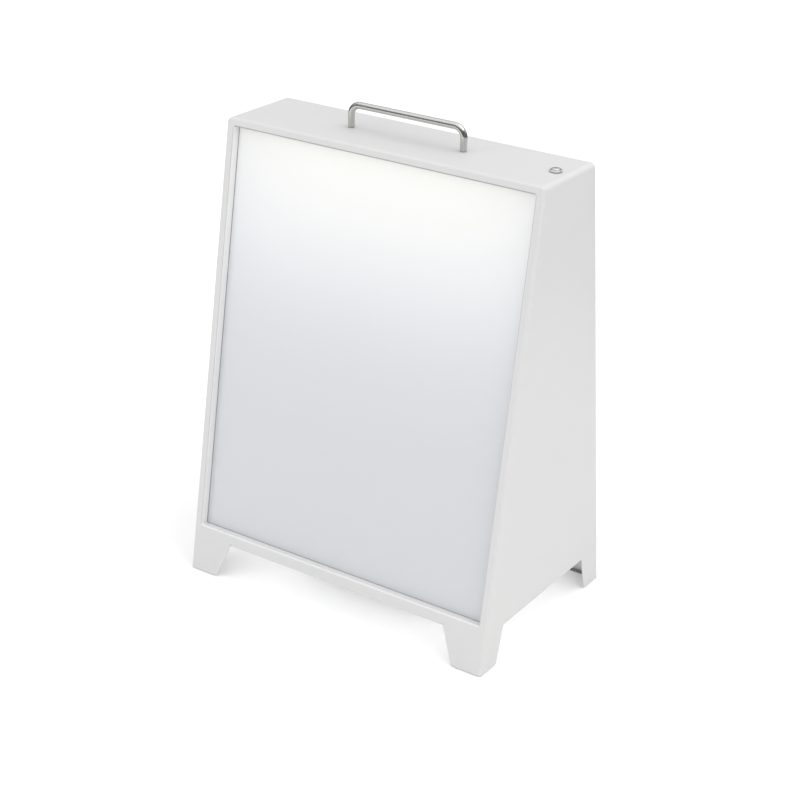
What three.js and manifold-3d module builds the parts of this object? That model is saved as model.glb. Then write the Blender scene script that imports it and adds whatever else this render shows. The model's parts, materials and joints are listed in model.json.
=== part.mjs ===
// A portable lighted advertising sign: a folded and welded steel body shaped like a letter A, open below,
// with a milky lit panel in each sloping face, a bar handle and a push switch on top, and a battery box
// hung under its bottom plate.
// Millimetres. X runs to the right, Y to the rear and Z up, from the floor under the middle of the body.

import * as THREE from "three";
import { mergeVertices } from "three/addons/utils/BufferGeometryUtils.js";
import Module from "manifold-3d";

const wasm = await Module();
wasm.setup();

// ---- Driving dimensions: body ----
const WIDTH = 420;
const TOP_HEIGHT = 556; // floor to the outside of the top plate
const TOP_DEPTH = 110;
const BASE_DEPTH = 278; // on the floor, between the planes of the two faces
const SHEET = 1.5; // steel sheet
const GAP = 0.3; // between pieces that touch
const WRAP_RADIUS = 6; // outside of the bends from the top down the sides
const FOLD_RADIUS = 3; // outside of the bends round the faces
const STEEL_BOTTOM = 1; // the rubber pads hold the steel this far off the floor

// ---- Driving dimensions: faces, rails and feet ----
const SIDE_LIP = 10.5;
const TOP_LIP = 9.5; // measured down the slope
const OPENING_BOTTOM = 60; // height of the rails' upper edges
const RAIL_BOTTOM = 45; // height of the rails' and side skirts' lower edges
const OPENING_RADIUS = 2;
const RECESS = 10; // depth of the panel behind the lips
const RETURN = 9; // width of the flanges that stiffen the lower edges
const FACE_FOOT = { top: 56, bottom: 39 }; // a foot's width on the sloping face
const SIDE_FOOT = { top: 39.5, bottom: 34 }; // a foot's width on the side
const SEAM_HEIGHT = 540; // weld between the side panels and the top panel

// ---- Driving dimensions: what the body carries ----
const PANEL = { halfWidth: 204, thickness: 3, top: 558 }; // top is measured up the slope
const PLATE = { bottom: 47, halfWidth: 199.5, halfDepth: 121.3 }; // bottom plate
const HANDLE = { pitch: 150, rise: 27, bar: 8, bend: 12, screwHole: 5.4 };
const SWITCH = { x: 191, hole: 12.4, barrel: 12, bezel: 14, button: 9.6 };
const LED = { length: 320, width: 18, height: 9, top: 544 };
const BOX = { halfWidth: 85, halfDepth: 50, bottom: 20, wall: 2 };
const INLET = { x: 48, z: 30 };
const HINGE = { y: BOX.halfDepth + 4.2, z: 42.4 }; // of the flap over the inlet
const CABLE = { x: 76, hole: 10.6, wire: 2.6 }; // where the leads enter the battery box

const SLOPE = Math.atan((BASE_DEPTH - TOP_DEPTH) / 2 / TOP_HEIGHT);
const slopeLength = (height) => height / Math.cos(SLOPE);
const OPENING = {
  halfWidth: WIDTH / 2 - SIDE_LIP,
  bottom: slopeLength(OPENING_BOTTOM),
  top: slopeLength(TOP_HEIGHT) - TOP_LIP,
};
const BOX_TOP = PLATE.bottom - GAP;

// ---- Materials ----
const material = (color, roughness, metalness = 0) =>
  new THREE.MeshStandardMaterial({ color, roughness, metalness });
const powderCoat = () => material(0xe9e9e8, 0.45);
const stainless = () => material(0xb4b2ae, 0.32, 1);
const zincSteel = () => material(0xa9abad, 0.4, 1);
const aluminium = () => material(0xc4c6c8, 0.35, 1);
const whitePlastic = () => material(0xdfe0df, 0.5);
const greyPlastic = () => material(0x6d7073, 0.55);
const blackRubber = () => material(0x1d1d1e, 0.8);
const greyRubber = () => material(0x6f7071, 0.8);
const circuitBoard = () => material(0xd9dcd6, 0.5);
const greenBoard = () => material(0x1f5a3c, 0.5);
const blueWrap = () => material(0x2a5f8f, 0.4);
const wireJacket = () => material(0x2b2b2d, 0.6);

function milkyAcrylic() {
  const acrylic = material(0xf4f5f4, 0.25);
  acrylic.emissive = new THREE.Color(0xfdfdf6);
  acrylic.emissiveIntensity = 0.8;
  return acrylic;
}

// ---- Solids ----
const AXES = {
  x: [new THREE.Vector3(0, 1, 0), new THREE.Vector3(0, 0, 1), new THREE.Vector3(1, 0, 0)],
  y: [new THREE.Vector3(1, 0, 0), new THREE.Vector3(0, 0, 1), new THREE.Vector3(0, -1, 0)],
  z: [new THREE.Vector3(1, 0, 0), new THREE.Vector3(0, 1, 0), new THREE.Vector3(0, 0, 1)],
};

function toSolid(geometry) {
  const bare = geometry.clone();
  bare.deleteAttribute("normal");
  bare.deleteAttribute("uv");
  const merged = mergeVertices(bare, 1e-4);
  const triVerts = new Uint32Array(merged.index.array);
  const vertProperties = merged.attributes.position.array;
  return new wasm.Manifold(new wasm.Mesh({ numProp: 3, vertProperties, triVerts }));
}

function toGeometry(solid) {
  const mesh = solid.getMesh();
  const geometry = new THREE.BufferGeometry();
  geometry.setAttribute("position", new THREE.BufferAttribute(mesh.vertProperties, 3));
  geometry.setIndex(new THREE.BufferAttribute(mesh.triVerts, 1));
  geometry.computeVertexNormals();
  return geometry;
}

const join = (...solids) => solids.reduce((whole, solid) => whole.add(solid));
const cut = (whole, ...solids) => solids.reduce((rest, solid) => rest.subtract(solid), whole);

// A closed outline from corners [x, y, radius], with an arc in each corner that has a radius.
function roundedShape(corners) {
  const shape = new THREE.Shape();
  const point = (i) => new THREE.Vector2(corners.at(i)[0], corners.at(i)[1]);
  corners.forEach(([, , radius = 0], i) => {
    const corner = point(i);
    const back = point(i - 1).sub(corner).normalize();
    const ahead = point((i + 1) % corners.length).sub(corner).normalize();
    const turn = Math.PI - Math.acos(back.dot(ahead));
    const reach = radius * Math.tan(turn / 2);
    const handle = reach - (radius * 4 * Math.tan(turn / 4)) / 3;
    const along = (direction, distance) => corner.clone().addScaledVector(direction, distance);
    const start = along(back, reach);
    if (i === 0) shape.moveTo(start.x, start.y);
    else shape.lineTo(start.x, start.y);
    if (radius > 0) {
      const [a, b, end] = [along(back, handle), along(ahead, handle), along(ahead, reach)];
      shape.bezierCurveTo(a.x, a.y, b.x, b.y, end.x, end.y);
    }
  });
  return shape;
}

const rectangle = (x0, x1, y0, y1, radius = 0) =>
  roundedShape([[x0, y0, radius], [x1, y0, radius], [x1, y1, radius], [x0, y1, radius]]);

// The outline drawn across an axis, in the order y-z, x-z or x-y, and pushed along it.
function extrude(shape, axis, from, to) {
  const [low, high] = axis === "y" ? [-to, -from] : [from, to];
  const options = { depth: high - low, bevelEnabled: false, curveSegments: 4 };
  const geometry = new THREE.ExtrudeGeometry(shape, options);
  geometry.translate(0, 0, low);
  geometry.applyMatrix4(new THREE.Matrix4().makeBasis(...AXES[axis]));
  return geometry;
}

function block(x0, x1, y0, y1, z0, z1) {
  const geometry = new THREE.BoxGeometry(x1 - x0, y1 - y0, z1 - z0);
  return geometry.translate((x0 + x1) / 2, (y0 + y1) / 2, (z0 + z1) / 2);
}

// A round bar along an axis, centred on the two other coordinates in their X, Y, Z order.
function rod(diameter, axis, a, b, from, to, sides = 20) {
  const geometry = new THREE.CylinderGeometry(diameter / 2, diameter / 2, to - from, sides);
  const middle = (from + to) / 2;
  if (axis === "x") return geometry.rotateZ(Math.PI / 2).translate(middle, a, b);
  if (axis === "y") return geometry.translate(a, middle, b);
  return geometry.rotateX(Math.PI / 2).translate(a, b, middle);
}

// A round tube or wire along a curve.
function tube(diameter, curve, steps, sides) {
  const circle = new THREE.Shape();
  for (let i = 0; i < sides; i++) {
    const angle = (2 * Math.PI * i) / sides;
    const [x, y] = [(Math.cos(angle) * diameter) / 2, (Math.sin(angle) * diameter) / 2];
    if (i === 0) circle.moveTo(x, y);
    else circle.lineTo(x, y);
  }
  return new THREE.ExtrudeGeometry(circle, { steps, extrudePath: curve, bevelEnabled: false });
}

// A screw standing on its domed head: the head's top is at z = 0 and the shank points up.
function screwGeometry(diameter, length, headDiameter, headHeight) {
  const head = headDiameter / 2;
  const profile = [
    [0, 0],
    [head * 0.55, 0],
    [head, headHeight * 0.45],
    [head, headHeight],
    [diameter / 2, headHeight],
    [diameter / 2, headHeight + length - 0.6],
    [diameter / 2 - 0.6, headHeight + length],
    [0, headHeight + length],
  ];
  const points = profile.map(([r, z]) => new THREE.Vector2(r, z));
  return new THREE.LatheGeometry(points, 16).rotateX(Math.PI / 2);
}

const hexagon = (acrossFlats) => {
  const radius = acrossFlats / Math.sqrt(3);
  const corner = (i) => [radius * Math.cos((i * Math.PI) / 3), radius * Math.sin((i * Math.PI) / 3)];
  return roundedShape([0, 1, 2, 3, 4, 5].map(corner));
};

// ---- Placing ----
const sign = new THREE.Group();

function addPiece(name, shape, look, parent = sign) {
  const geometry = shape.isBufferGeometry ? shape : toGeometry(shape);
  const mesh = new THREE.Mesh(geometry, look);
  mesh.name = name;
  parent.add(mesh);
  return mesh;
}

// A face's own frame: X across, Y up the slope from the floor and Z out of the face.
// Side -1 is the front and side 1 the rear.
function faceMatrix(side) {
  const lean = new THREE.Matrix4().makeRotationX(Math.PI / 2 - SLOPE);
  const front = new THREE.Matrix4().makeTranslation(0, -BASE_DEPTH / 2, 0).multiply(lean);
  return side < 0 ? front : new THREE.Matrix4().makeRotationZ(Math.PI).multiply(front);
}

const FACES = [
  { name: "front", side: -1 },
  { name: "rear", side: 1 },
];
const SIDES = [
  { name: "left", side: -1 },
  { name: "right", side: 1 },
];
const CORNERS = FACES.flatMap((face) =>
  SIDES.map(({ name, side }) => ({ name: `${face.name}_${name}`, face, side })),
);

// ---- Steel body ----
// Half the body's depth at a height, with the faces moved inwards.
const halfDepth = (height, inset) =>
  BASE_DEPTH / 2 - height * Math.tan(SLOPE) - inset / Math.cos(SLOPE);

// The body's skin moved inwards by inset, as one closed volume standing at a floor height.
function bodyVolume(inset, floor) {
  const half = WIDTH / 2 - inset;
  const ceiling = TOP_HEIGHT - inset;
  const [low, high] = [halfDepth(floor, inset), halfDepth(ceiling, inset)];
  const [fold, wrap] = [FOLD_RADIUS - inset, WRAP_RADIUS - inset];
  const sideView = roundedShape([
    [-low, floor], [low, floor], [high, ceiling, fold], [-high, ceiling, fold],
  ]);
  const frontView = roundedShape([
    [-half, floor], [half, floor], [half, ceiling, wrap], [-half, ceiling, wrap],
  ]);
  const section = roundedShape([
    [-half, -400], [half, -400], [half, -inset, fold], [-half, -inset, fold],
  ]);
  const wedge = toSolid(extrude(sideView, "x", -WIDTH, WIDTH));
  const arch = toSolid(extrude(frontView, "y", -BASE_DEPTH, BASE_DEPTH));
  const slabs = FACES.map(({ side }) =>
    toSolid(extrude(section, "y", -60, 620).applyMatrix4(faceMatrix(side))),
  );
  return slabs.reduce((volume, slab) => volume.intersect(slab), wedge.intersect(arch));
}

const openingShape = (grow) =>
  rectangle(
    -OPENING.halfWidth - grow,
    OPENING.halfWidth + grow,
    OPENING.bottom - grow,
    OPENING.top + grow,
    OPENING_RADIUS + grow,
  );

// What one sloping face adds behind its sheet: a slab whose rim is left standing as the wall round the recess
// once the opening is cut, and a bar that the notch trims to the flange under the rail.
function faceBacking(side) {
  const railHalf = WIDTH / 2 - FACE_FOOT.top - 1;
  const railBottom = slopeLength(RAIL_BOTTOM);
  const recess = extrude(openingShape(SHEET), "z", -RECESS, -SHEET / 2);
  const railReturn = block(-railHalf, railHalf, railBottom - 1, railBottom + SHEET, -RETURN, -SHEET / 2);
  return [recess, railReturn].map((g) => toSolid(g.applyMatrix4(faceMatrix(side))));
}

// What is cut from one sloping face: the panel's opening and the notch between its two feet.
function faceCuts(side) {
  const [top, bottom] = [WIDTH / 2 - FACE_FOOT.top, WIDTH / 2 - FACE_FOOT.bottom];
  const railBottom = slopeLength(RAIL_BOTTOM);
  const notch = roundedShape([
    [-bottom, 0], [-bottom, -20], [bottom, -20], [bottom, 0], [top, railBottom], [-top, railBottom],
  ]);
  const shapes = [openingShape(0), notch];
  return shapes.map((shape) => toSolid(extrude(shape, "z", -30, 5).applyMatrix4(faceMatrix(side))));
}

// The notch between the feet of both sides.
function sideNotch() {
  const top = halfDepth(RAIL_BOTTOM, 0) - SIDE_FOOT.top;
  const bottom = halfDepth(0, 0) - SIDE_FOOT.bottom;
  const notch = roundedShape([
    [-bottom, 0], [-bottom, -20], [bottom, -20], [bottom, 0], [top, RAIL_BOTTOM], [-top, RAIL_BOTTOM],
  ]);
  return toSolid(extrude(notch, "x", -WIDTH, WIDTH));
}

// A bar along the inside of a side, which the notch trims to the flange under its skirt.
function sideBacking(side) {
  const half = halfDepth(RAIL_BOTTOM, 0) - SIDE_FOOT.top - 0.5;
  const [outer, inner] = [WIDTH / 2 - SHEET / 2, WIDTH / 2 - SHEET - RETURN + 1];
  const [x0, x1] = side < 0 ? [-outer, -inner] : [inner, outer];
  return toSolid(block(x0, x1, -half, half, RAIL_BOTTOM - 1, RAIL_BOTTOM + SHEET));
}

function addBody() {
  const hollow = cut(bodyVolume(0, STEEL_BOTTOM), bodyVolume(SHEET, -60));
  const backing = FACES.flatMap(({ side }) => faceBacking(side));
  const blank = join(hollow, ...backing, sideBacking(-1), sideBacking(1));
  const shell = cut(blank, ...FACES.flatMap(({ side }) => faceCuts(side)), sideNotch());

  const far = 400;
  const half = GAP / 2;
  const railHalf = WIDTH / 2 - FACE_FOOT.top;
  const outer = half + railHalf;
  const inner = railHalf - half;
  const sideTop = SEAM_HEIGHT - half;
  const addRegion = (name, ...limits) =>
    addPiece(name, shell.intersect(toSolid(block(...limits))), powderCoat());
  const topHoles = [
    rod(SWITCH.hole, "z", SWITCH.x, 0, 540, 570, 32),
    ...SIDES.map(({ side }) => rod(HANDLE.screwHole, "z", (side * HANDLE.pitch) / 2, 0, 540, 570)),
  ];
  const top = shell.intersect(toSolid(block(-far, far, -far, far, SEAM_HEIGHT + half, 600)));
  addPiece("top_panel", cut(top, ...topHoles.map(toSolid)), powderCoat());
  addRegion("side_panel_left", -far, -outer, -far, far, 0, sideTop);
  addRegion("side_panel_right", outer, far, -far, far, 0, sideTop);
  addRegion("front_rail", -inner, inner, -far, 0, 0, 100);
  addRegion("rear_rail", -inner, inner, 0, far, 0, 100);
}

// Rubber strips along the insides of the feet, which carry the sign.
function addFootPads() {
  const [depth, width, height, clear] = [3, 34, 3, SHEET + 0.7];
  const profile = (side) => {
    const edge = (z) => side * halfDepth(z, clear);
    const inner = (z) => side * (halfDepth(z, clear) - depth);
    const corners = [[edge(0), 0], [edge(height), height], [inner(height), height], [inner(0), 0]];
    return roundedShape(side < 0 ? corners.reverse() : corners);
  };
  for (const face of FACES) {
    for (const { name, side } of SIDES) {
      const [outer, inner] = [WIDTH / 2 - clear, WIDTH / 2 - clear - width];
      const [x0, x1] = side < 0 ? [-outer, -inner] : [inner, outer];
      addPiece(`foot_pad_${face.name}_${name}`, extrude(profile(face.side), "x", x0, x1), greyRubber());
    }
  }
}

// ---- Panels ----
// Each milky sheet lies against the edge of its recess wall, held there by a guide at each side.
function addPanels() {
  const front = -RECESS - GAP;
  const back = front - PANEL.thickness;
  const lowest = PLATE.bottom + SHEET + GAP;
  const bottom = (lowest - back * Math.sin(SLOPE)) / Math.cos(SLOPE);
  const [guideBottom, guideTop] = [66, 540];
  const inside = WIDTH / 2 - SHEET - GAP;
  for (const face of FACES) {
    const group = new THREE.Group();
    group.applyMatrix4(faceMatrix(face.side));
    sign.add(group);
    const sheet = rectangle(-PANEL.halfWidth, PANEL.halfWidth, bottom, PANEL.top, 1.5);
    addPiece(`panel_${face.name}`, extrude(sheet, "z", back, front), milkyAcrylic(), group);
    for (const { name, side } of SIDES) {
      const across = side * -face.side; // the rear face's own frame is turned round
      const [wall, lip] = [across * inside, across * (OPENING.halfWidth + 1)];
      const shank = across * (inside - 1.2);
      const angle = [
        [wall, back - GAP], [wall, back - 15], [shank, back - 15], [shank, back - GAP - 1.2],
        [lip, back - GAP - 1.2], [lip, back - GAP],
      ];
      const profile = roundedShape(across > 0 ? angle.reverse() : angle);
      const guide = extrude(profile, "y", guideBottom, guideTop);
      addPiece(`panel_guide_${face.name}_${name}`, guide, powderCoat(), group);
    }
  }
}

// ---- Handle ----
class HandleCurve extends THREE.CurvePath {
  constructor(foot) {
    super();
    const [half, top, r] = [HANDLE.pitch / 2, foot + HANDLE.rise, HANDLE.bend];
    const k = r * (1 - 0.5523); // a cubic curve's handles for a quarter circle
    const at = (x, z) => new THREE.Vector3(x, 0, z);
    const straight = (...points) => this.add(new THREE.LineCurve3(...points));
    const bend = (...points) => this.add(new THREE.CubicBezierCurve3(...points));
    straight(at(-half, foot), at(-half, top - r));
    bend(at(-half, top - r), at(-half, top - k), at(k - half, top), at(r - half, top));
    straight(at(r - half, top), at(half - r, top));
    bend(at(half - r, top), at(half - k, top), at(half, top - k), at(half, top - r));
    straight(at(half, top - r), at(half, foot));
  }
}

// A bent bar, tapped in both ends and held by a screw and a washer under the top plate.
function addHandle() {
  const under = TOP_HEIGHT - SHEET;
  const washerBottom = under - GAP / 3 - 1;
  const screw = { diameter: 5, head: 9, headHeight: 3, length: 11 };
  const screwTop = washerBottom - GAP / 3 + screw.length;
  const hole = HANDLE.screwHole;
  const bar = toSolid(tube(HANDLE.bar, new HandleCurve(TOP_HEIGHT), 48, 16));
  const ends = SIDES.map(({ side }) => (side * HANDLE.pitch) / 2);
  const bores = ends.map((x) => toSolid(rod(hole, "z", x, 0, under, screwTop + 0.5, 16)));
  addPiece("handle", cut(bar, ...bores), stainless());
  SIDES.forEach(({ name }, i) => {
    const disc = toSolid(rod(12, "z", ends[i], 0, washerBottom, washerBottom + 1, 24));
    const eye = toSolid(rod(hole, "z", ends[i], 0, 540, 560, 16));
    addPiece(`handle_washer_${name}`, cut(disc, eye), zincSteel());
    const geometry = screwGeometry(screw.diameter, screw.length, screw.head, screw.headHeight);
    const mesh = addPiece(`handle_screw_${name}`, geometry, zincSteel());
    mesh.position.set(ends[i], 0, washerBottom - GAP / 3 - screw.headHeight);
  });
}

// ---- Switch ----
// A round metal push switch: a bezel and threaded barrel, a sprung button, a gasket and a nut.
function addSwitch() {
  const top = TOP_HEIGHT;
  const gasket = { height: 0.6, diameter: 13.4 };
  const bezel = { low: top + gasket.height + 0.1, high: top + 2.6 };
  const well = { diameter: SWITCH.button + 0.6, floor: bezel.high - 6 };
  const stem = 4;
  const disc = (diameter, low, high, sides = 32) =>
    toSolid(rod(diameter, "z", 0, 0, low, high, sides));
  const turned = (profile) => {
    const points = profile.map(([r, z]) => new THREE.Vector2(r, z));
    return toSolid(new THREE.LatheGeometry(points, 32).rotateX(Math.PI / 2));
  };
  const group = new THREE.Group();
  group.position.set(SWITCH.x, 0, 0);
  sign.add(group);

  const rimRadius = SWITCH.bezel / 2;
  const rim = turned([
    [0, bezel.low], [rimRadius, bezel.low], [rimRadius, bezel.high - 0.5],
    [rimRadius - 0.5, bezel.high], [0, bezel.high],
  ]);
  const body = join(
    rim,
    disc(SWITCH.barrel, top - 16, bezel.low + 0.2),
    disc(SWITCH.barrel - 1.5, top - 24, top - 15.5, 24),
    toSolid(block(-3.2, -2.4, -1, 1, top - 29, top - 23.5)),
    toSolid(block(2.4, 3.2, -1, 1, top - 29, top - 23.5)),
  );
  const buttonWell = disc(well.diameter, well.floor, bezel.high + 1);
  const stemHole = disc(stem + 0.6, well.floor - 4, well.floor + 1, 20);
  addPiece("switch_body", cut(body, buttonWell, stemHole), stainless(), group);

  const capRadius = SWITCH.button / 2;
  const cap = turned([
    [0, bezel.high - 3.2], [capRadius, bezel.high - 3.2], [capRadius, bezel.high + 0.9],
    [capRadius - 0.4, bezel.high + 1.3], [0, bezel.high + 1.5],
  ]);
  const button = join(cap, disc(stem, well.floor - 2, bezel.high - 3, 20));
  addPiece("switch_button", button, stainless(), group);

  const ring = disc(gasket.diameter, top, top + gasket.height);
  const ringHole = disc(SWITCH.hole, top - 1, top + 2);
  addPiece("switch_gasket", cut(ring, ringHole), blackRubber(), group);
  const nut = toSolid(extrude(hexagon(15), "z", top - SHEET - 2.6, top - SHEET - 0.1));
  addPiece("switch_nut", cut(nut, disc(SWITCH.barrel + 0.4, top - 10, top)), zincSteel(), group);
}

// ---- Light bar ----
// An aluminium channel under the top plate, open downwards, with a row of LEDs behind an opal lens.
function addLightBar() {
  const half = LED.length / 2;
  const [side, bottom] = [LED.width / 2, LED.top - LED.height];
  const wall = 1.2;
  const channel = cut(
    toSolid(block(-half, half, -side, side, bottom, LED.top)),
    toSolid(block(-half - 1, half + 1, wall - side, side - wall, bottom - 1, LED.top - wall)),
  );
  const screwXs = SIDES.map((s) => s.side * 120);
  const screwHoles = screwXs.map((x) => toSolid(rod(3.4, "z", x, 0, LED.top - 5, LED.top + 5, 16)));
  addPiece("light_channel", cut(channel, ...screwHoles), aluminium());

  const boardTop = LED.top - wall - 3;
  const count = 15;
  const pitch = (LED.length - 30) / (count - 1);
  const chips = Array.from({ length: count }, (_, i) => {
    const x = (i - (count - 1) / 2) * pitch;
    return toSolid(block(x - 2.5, x + 2.5, -2.5, 2.5, boardTop - 2.4, boardTop - 1));
  });
  const edge = side - wall - GAP;
  const board = toSolid(block(4 - half, half - 4, -edge, edge, boardTop - 1.2, boardTop));
  addPiece("light_board", join(board, ...chips), circuitBoard());

  const lensSection = roundedShape([
    [-side, bottom - GAP], [-side, bottom - 5, 3], [side, bottom - 5, 3], [side, bottom - GAP],
    [side - 1, bottom - GAP], [side - 1, bottom - 4, 2], [1 - side, bottom - 4, 2], [1 - side, bottom - GAP],
  ]);
  addPiece("light_lens", extrude(lensSection, "x", -half, half), milkyAcrylic());

  SIDES.forEach(({ name, side: end }, i) => {
    const [inner, outer] = [half + GAP, half + GAP + 2];
    const [x0, x1] = end < 0 ? [-outer, -inner] : [inner, outer];
    const capShape = rectangle(-side, side, bottom - 5, LED.top, 1.5);
    addPiece(`light_end_cap_${name}`, extrude(capShape, "x", x0, x1), greyPlastic());

    const x = screwXs[i];
    const under = TOP_HEIGHT - SHEET - GAP;
    const [ledge, thin] = [LED.top + GAP, 1.2];
    const bracketSection = roundedShape([
      [-8, ledge], [20, ledge], [20, under - thin], [34, under - thin], [34, under], [20 - thin, under],
      [20 - thin, ledge + thin], [-8, ledge + thin],
    ]);
    const bracket = toSolid(extrude(bracketSection, "x", x - 8, x + 8));
    const hole = toSolid(rod(3.4, "z", x, 0, ledge - 2, ledge + 4, 16));
    addPiece(`light_bracket_${name}`, cut(bracket, hole), zincSteel());
    const screw = addPiece(`light_screw_${name}`, screwGeometry(3, 5, 5.5, 1.8), zincSteel());
    screw.position.set(x, 0, LED.top - wall - GAP / 3 - 1.8);
  });
}

// ---- Bottom plate ----
// It closes the light box from below, carries the lower edges of both panels and holds the battery box.
function addBottomPlate() {
  const top = PLATE.bottom + SHEET;
  const [screwX, screwY] = [193, 78];
  const corners = CORNERS.map(({ name, face, side }) => {
    return { name, side, x: side * screwX, y: face.side * screwY };
  });
  const holeAt = ({ x, y }) => toSolid(rod(4.5, "z", x, y, 40, 60, 16));
  const outline = rectangle(-PLATE.halfWidth, PLATE.halfWidth, -PLATE.halfDepth, PLATE.halfDepth, 4);
  const plate = toSolid(extrude(outline, "z", PLATE.bottom, top));
  const holes = [
    ...corners.map(holeAt),
    ...boxScrewPlaces().map(([x, y]) => toSolid(rod(3.5, "z", x, y, 40, 60, 16))),
    toSolid(rod(CABLE.hole, "z", CABLE.x, 0, 40, 60, 24)),
  ];
  addPiece("bottom_plate", cut(plate, ...holes), powderCoat());

  for (const { name, side } of SIDES) {
    const [inside, ledge, thin] = [WIDTH / 2 - SHEET - GAP, top + GAP, 1.5];
    const [wall, leaf] = [side * inside, side * (inside - 20)];
    const angle = [
      [wall, ledge], [wall, ledge + 13], [wall - side * thin, ledge + 13],
      [wall - side * thin, ledge + thin], [leaf, ledge + thin], [leaf, ledge],
    ];
    const bracket = toSolid(extrude(roundedShape(side < 0 ? angle : angle.reverse()), "y", -92, 92));
    const ownHoles = corners.filter((corner) => corner.side === side).map(holeAt);
    addPiece(`plate_bracket_${name}`, cut(bracket, ...ownHoles), powderCoat());
  }
  for (const { name, x, y } of corners) {
    const screw = addPiece(`plate_screw_${name}`, screwGeometry(4, 8, 8, 2.3), zincSteel());
    screw.position.set(x, y, PLATE.bottom - GAP / 3 - 2.3);
  }
}

// ---- Battery box ----
const boxScrewPlaces = () => [[-40, 40], [-40, -40]];
const lidScrewPlaces = () =>
  CORNERS.map(({ name, face, side }) => ({ name, x: side * 78, y: face.side * 43 }));

// A moulded box, open below, screwed up to the bottom plate and closed by a lid.
function addBatteryBox() {
  const { halfWidth: w, halfDepth: d, bottom, wall } = BOX;
  const outside = toSolid(extrude(rectangle(-w, w, -d, d, 4), "z", bottom, BOX_TOP));
  const room = rectangle(wall - w, w - wall, wall - d, d - wall, 2);
  const inside = toSolid(extrude(room, "z", bottom - 1, BOX_TOP - wall));
  const bosses = lidScrewPlaces().map(({ x, y }) => {
    const [x0, x1] = x < 0 ? [-w + 1, x + 4] : [x - 4, w - 1];
    const [y0, y1] = y < 0 ? [-d + 1, y + 4] : [y - 4, d - 1];
    return toSolid(block(x0, x1, y0, y1, bottom, BOX_TOP - 1));
  });
  const lugs = [-7, 5].map((x) => {
    const lug = roundedShape([
      [d - 1, 45.5], [d - 1, 36.5], [d + 1, 36.5], [d + 6, 40, 1], [d + 6, 45.5, 2],
    ]);
    return toSolid(extrude(lug, "x", INLET.x + x, INLET.x + x + 2));
  });
  const holes = [
    ...lidScrewPlaces().map(({ x, y }) => rod(2.9, "z", x, y, bottom - 1, bottom + 12, 16)),
    ...boxScrewPlaces().map(([x, y]) => rod(3.5, "z", x, y, 40, 50, 16)),
    rod(CABLE.hole, "z", CABLE.x, 0, 40, 50, 24),
    rod(8.4, "y", INLET.x, INLET.z, d - 5, d + 0.5, 24),
    rod(2.2, "x", HINGE.y, HINGE.z, INLET.x - 10, INLET.x + 10, 16),
  ];
  const box = cut(join(cut(outside, inside), ...bosses, ...lugs), ...holes.map(toSolid));
  addPiece("battery_box", box, greyPlastic());

  const lidTop = bottom - GAP;
  const lid = toSolid(extrude(rectangle(-w, w, -d, d, 4), "z", lidTop - 2, lidTop));
  const lidHoles = lidScrewPlaces().map(({ x, y }) =>
    toSolid(rod(3.5, "z", x, y, lidTop - 3, lidTop + 1, 16)),
  );
  addPiece("battery_lid", cut(lid, ...lidHoles), greyPlastic());
  for (const { name, x, y } of lidScrewPlaces()) {
    const screw = addPiece(`lid_screw_${name}`, screwGeometry(2.7, 10, 5.5, 1.8), zincSteel());
    screw.position.set(x, y, lidTop - 2 - GAP / 3 - 1.8);
  }
  boxScrewPlaces().forEach(([x, y], i) => {
    const screw = addPiece(`box_screw_${FACES[1 - i].name}`, screwGeometry(3, 8, 5.5, 1.8), zincSteel());
    screw.position.set(x, y, BOX_TOP - wall - GAP / 3 - 1.8);
  });
}

// Four round cells side by side in a sleeve, and the board that charges them and feeds the light.
function addBatteryParts() {
  const cell = { diameter: 18.4, length: 65, pitch: 18, count: 4 };
  const first = -72 + cell.diameter / 2;
  const cells = Array.from({ length: cell.count }, (_, i) =>
    toSolid(rod(cell.diameter, "y", first + i * cell.pitch, 31, -cell.length / 2, cell.length / 2, 20)),
  );
  addPiece("battery_pack", join(...cells), blueWrap());

  const [x0, x1, low] = [12, 68, 38];
  const board = join(
    toSolid(block(x0, x1, -34, 34, low, low + 1.6)),
    toSolid(block(x0 + 4, x0 + 12, -26, -12, low - 7, low + 0.2)),
    toSolid(block(x0 + 4, x0 + 12, 6, 20, low - 7, low + 0.2)),
    toSolid(block(x1 - 12, x1 - 4, -30, -10, low - 8, low + 0.2)),
    toSolid(block(34, 48, -8, 6, low - 5, low + 0.2)),
    toSolid(rod(8, "z", 30, -22, low - 10, low + 0.2, 20)),
  );
  addPiece("control_board", board, greenBoard());
}

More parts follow.
